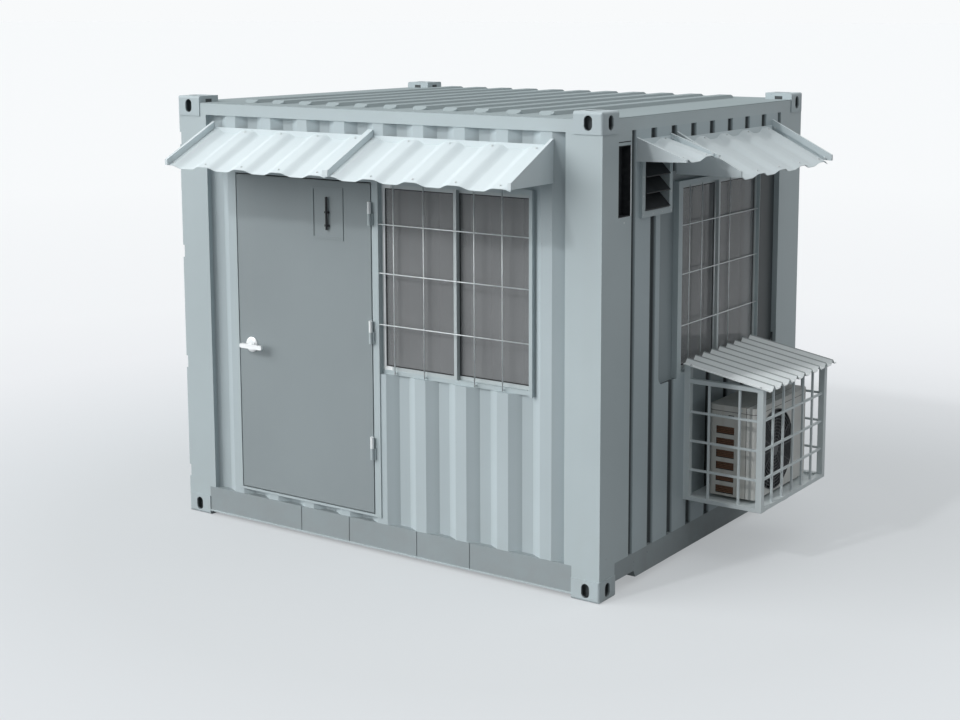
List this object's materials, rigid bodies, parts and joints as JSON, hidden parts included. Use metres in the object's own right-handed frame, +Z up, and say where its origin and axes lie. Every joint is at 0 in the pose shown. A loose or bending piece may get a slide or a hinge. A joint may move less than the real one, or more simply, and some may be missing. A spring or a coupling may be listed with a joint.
{
  "type": "office container",
  "caption": "Corrugated steel office container with a hinged door, barred sliding windows, sheet-metal awnings and a caged air conditioner.",
  "frame": {"origin": "on the ground, under the middle of the bounding box", "axes": "+X along the front wall towards the end with the air conditioner, the front wall with the door faces -Y, +Z up"},
  "size_m": [3.524, 2.823, 2.591],
  "materials": {
    "frame_paint": "satin",
    "wall_paint": "satin",
    "end_wall_paint": "satin",
    "roof_paint": "satin",
    "underframe_paint": "satin",
    "floor_board": "satin",
    "lining": "satin",
    "door_paint": "satin",
    "white_paint": "satin",
    "awning_paint": "satin",
    "window_plastic": "gloss",
    "window_glass": "gloss",
    "black_steel": "matte",
    "black_plastic": "matte",
    "switch_plastic": "gloss",
    "cage_steel": "satin",
    "housing_enamel": "satin",
    "grille_steel": "satin",
    "handle_metal": "satin"
  },
  "bodies": {
    "building": {"corner_castings": "frame_paint", "corner_posts": "frame_paint", "bottom_side_rails": "frame_paint", "bottom_end_rails": "frame_paint", "top_rails": "frame_paint", "floor_beams": "underframe_paint", "floor_deck": "floor_board", "roof_panel": "roof_paint", "ceiling": "lining", "front_wall_left": "wall_paint", "front_wall_head": "wall_paint", "front_wall_apron": "wall_paint", "front_wall_sill": "wall_paint", "front_wall_right": "wall_paint", "right_wall_near": "end_wall_paint", "right_wall_head": "end_wall_paint", "right_wall_apron": "end_wall_paint", "right_wall_far": "end_wall_paint", "left_wall": "end_wall_paint", "back_wall": "wall_paint", "door_frame": "frame_paint", "front_window_frame": "frame_paint", "right_window_frame": "frame_paint", "window_sashes": "window_plastic", "window_glass": "window_glass", "front_awning_sheets": "awning_paint", "front_awning_brackets": "awning_paint", "right_awning_sheets": "awning_paint", "right_awning_brackets": "awning_paint", "vent_frame": "frame_paint", "vent_blades": "black_steel", "cable_recess": "black_plastic", "wall_switch": "switch_plastic", "cage_shelf": "cage_steel", "cage_near_side": "cage_steel", "cage_outer_side": "cage_steel", "cage_far_side": "cage_steel", "cage_roof": "awning_paint", "aircon_housing": "housing_enamel", "aircon_grille": "grille_steel"},
    "door": {"door_leaf": "door_paint", "door_hinges": "white_paint", "door_bolt": "black_steel", "handle_rose": "handle_metal"},
    "handle": {"door_handle": "handle_metal"}
  },
  "joints": [
    {"name": "door_swing", "type": "hinge", "parent": "building", "child": "door", "pos_m": [-0.28, -1.0375, 0.236], "axis": [0, 0, 1], "range_deg": [0, 110]},
    {"name": "door_lever", "type": "hinge", "parent": "door", "child": "handle", "pos_m": [-1.203, -1.0825, 1.12], "axis": [0, 1, 0], "range_deg": [0, 45], "stiffness_Nm_per_rad": 2, "springref_deg": -17.19}
  ]
}
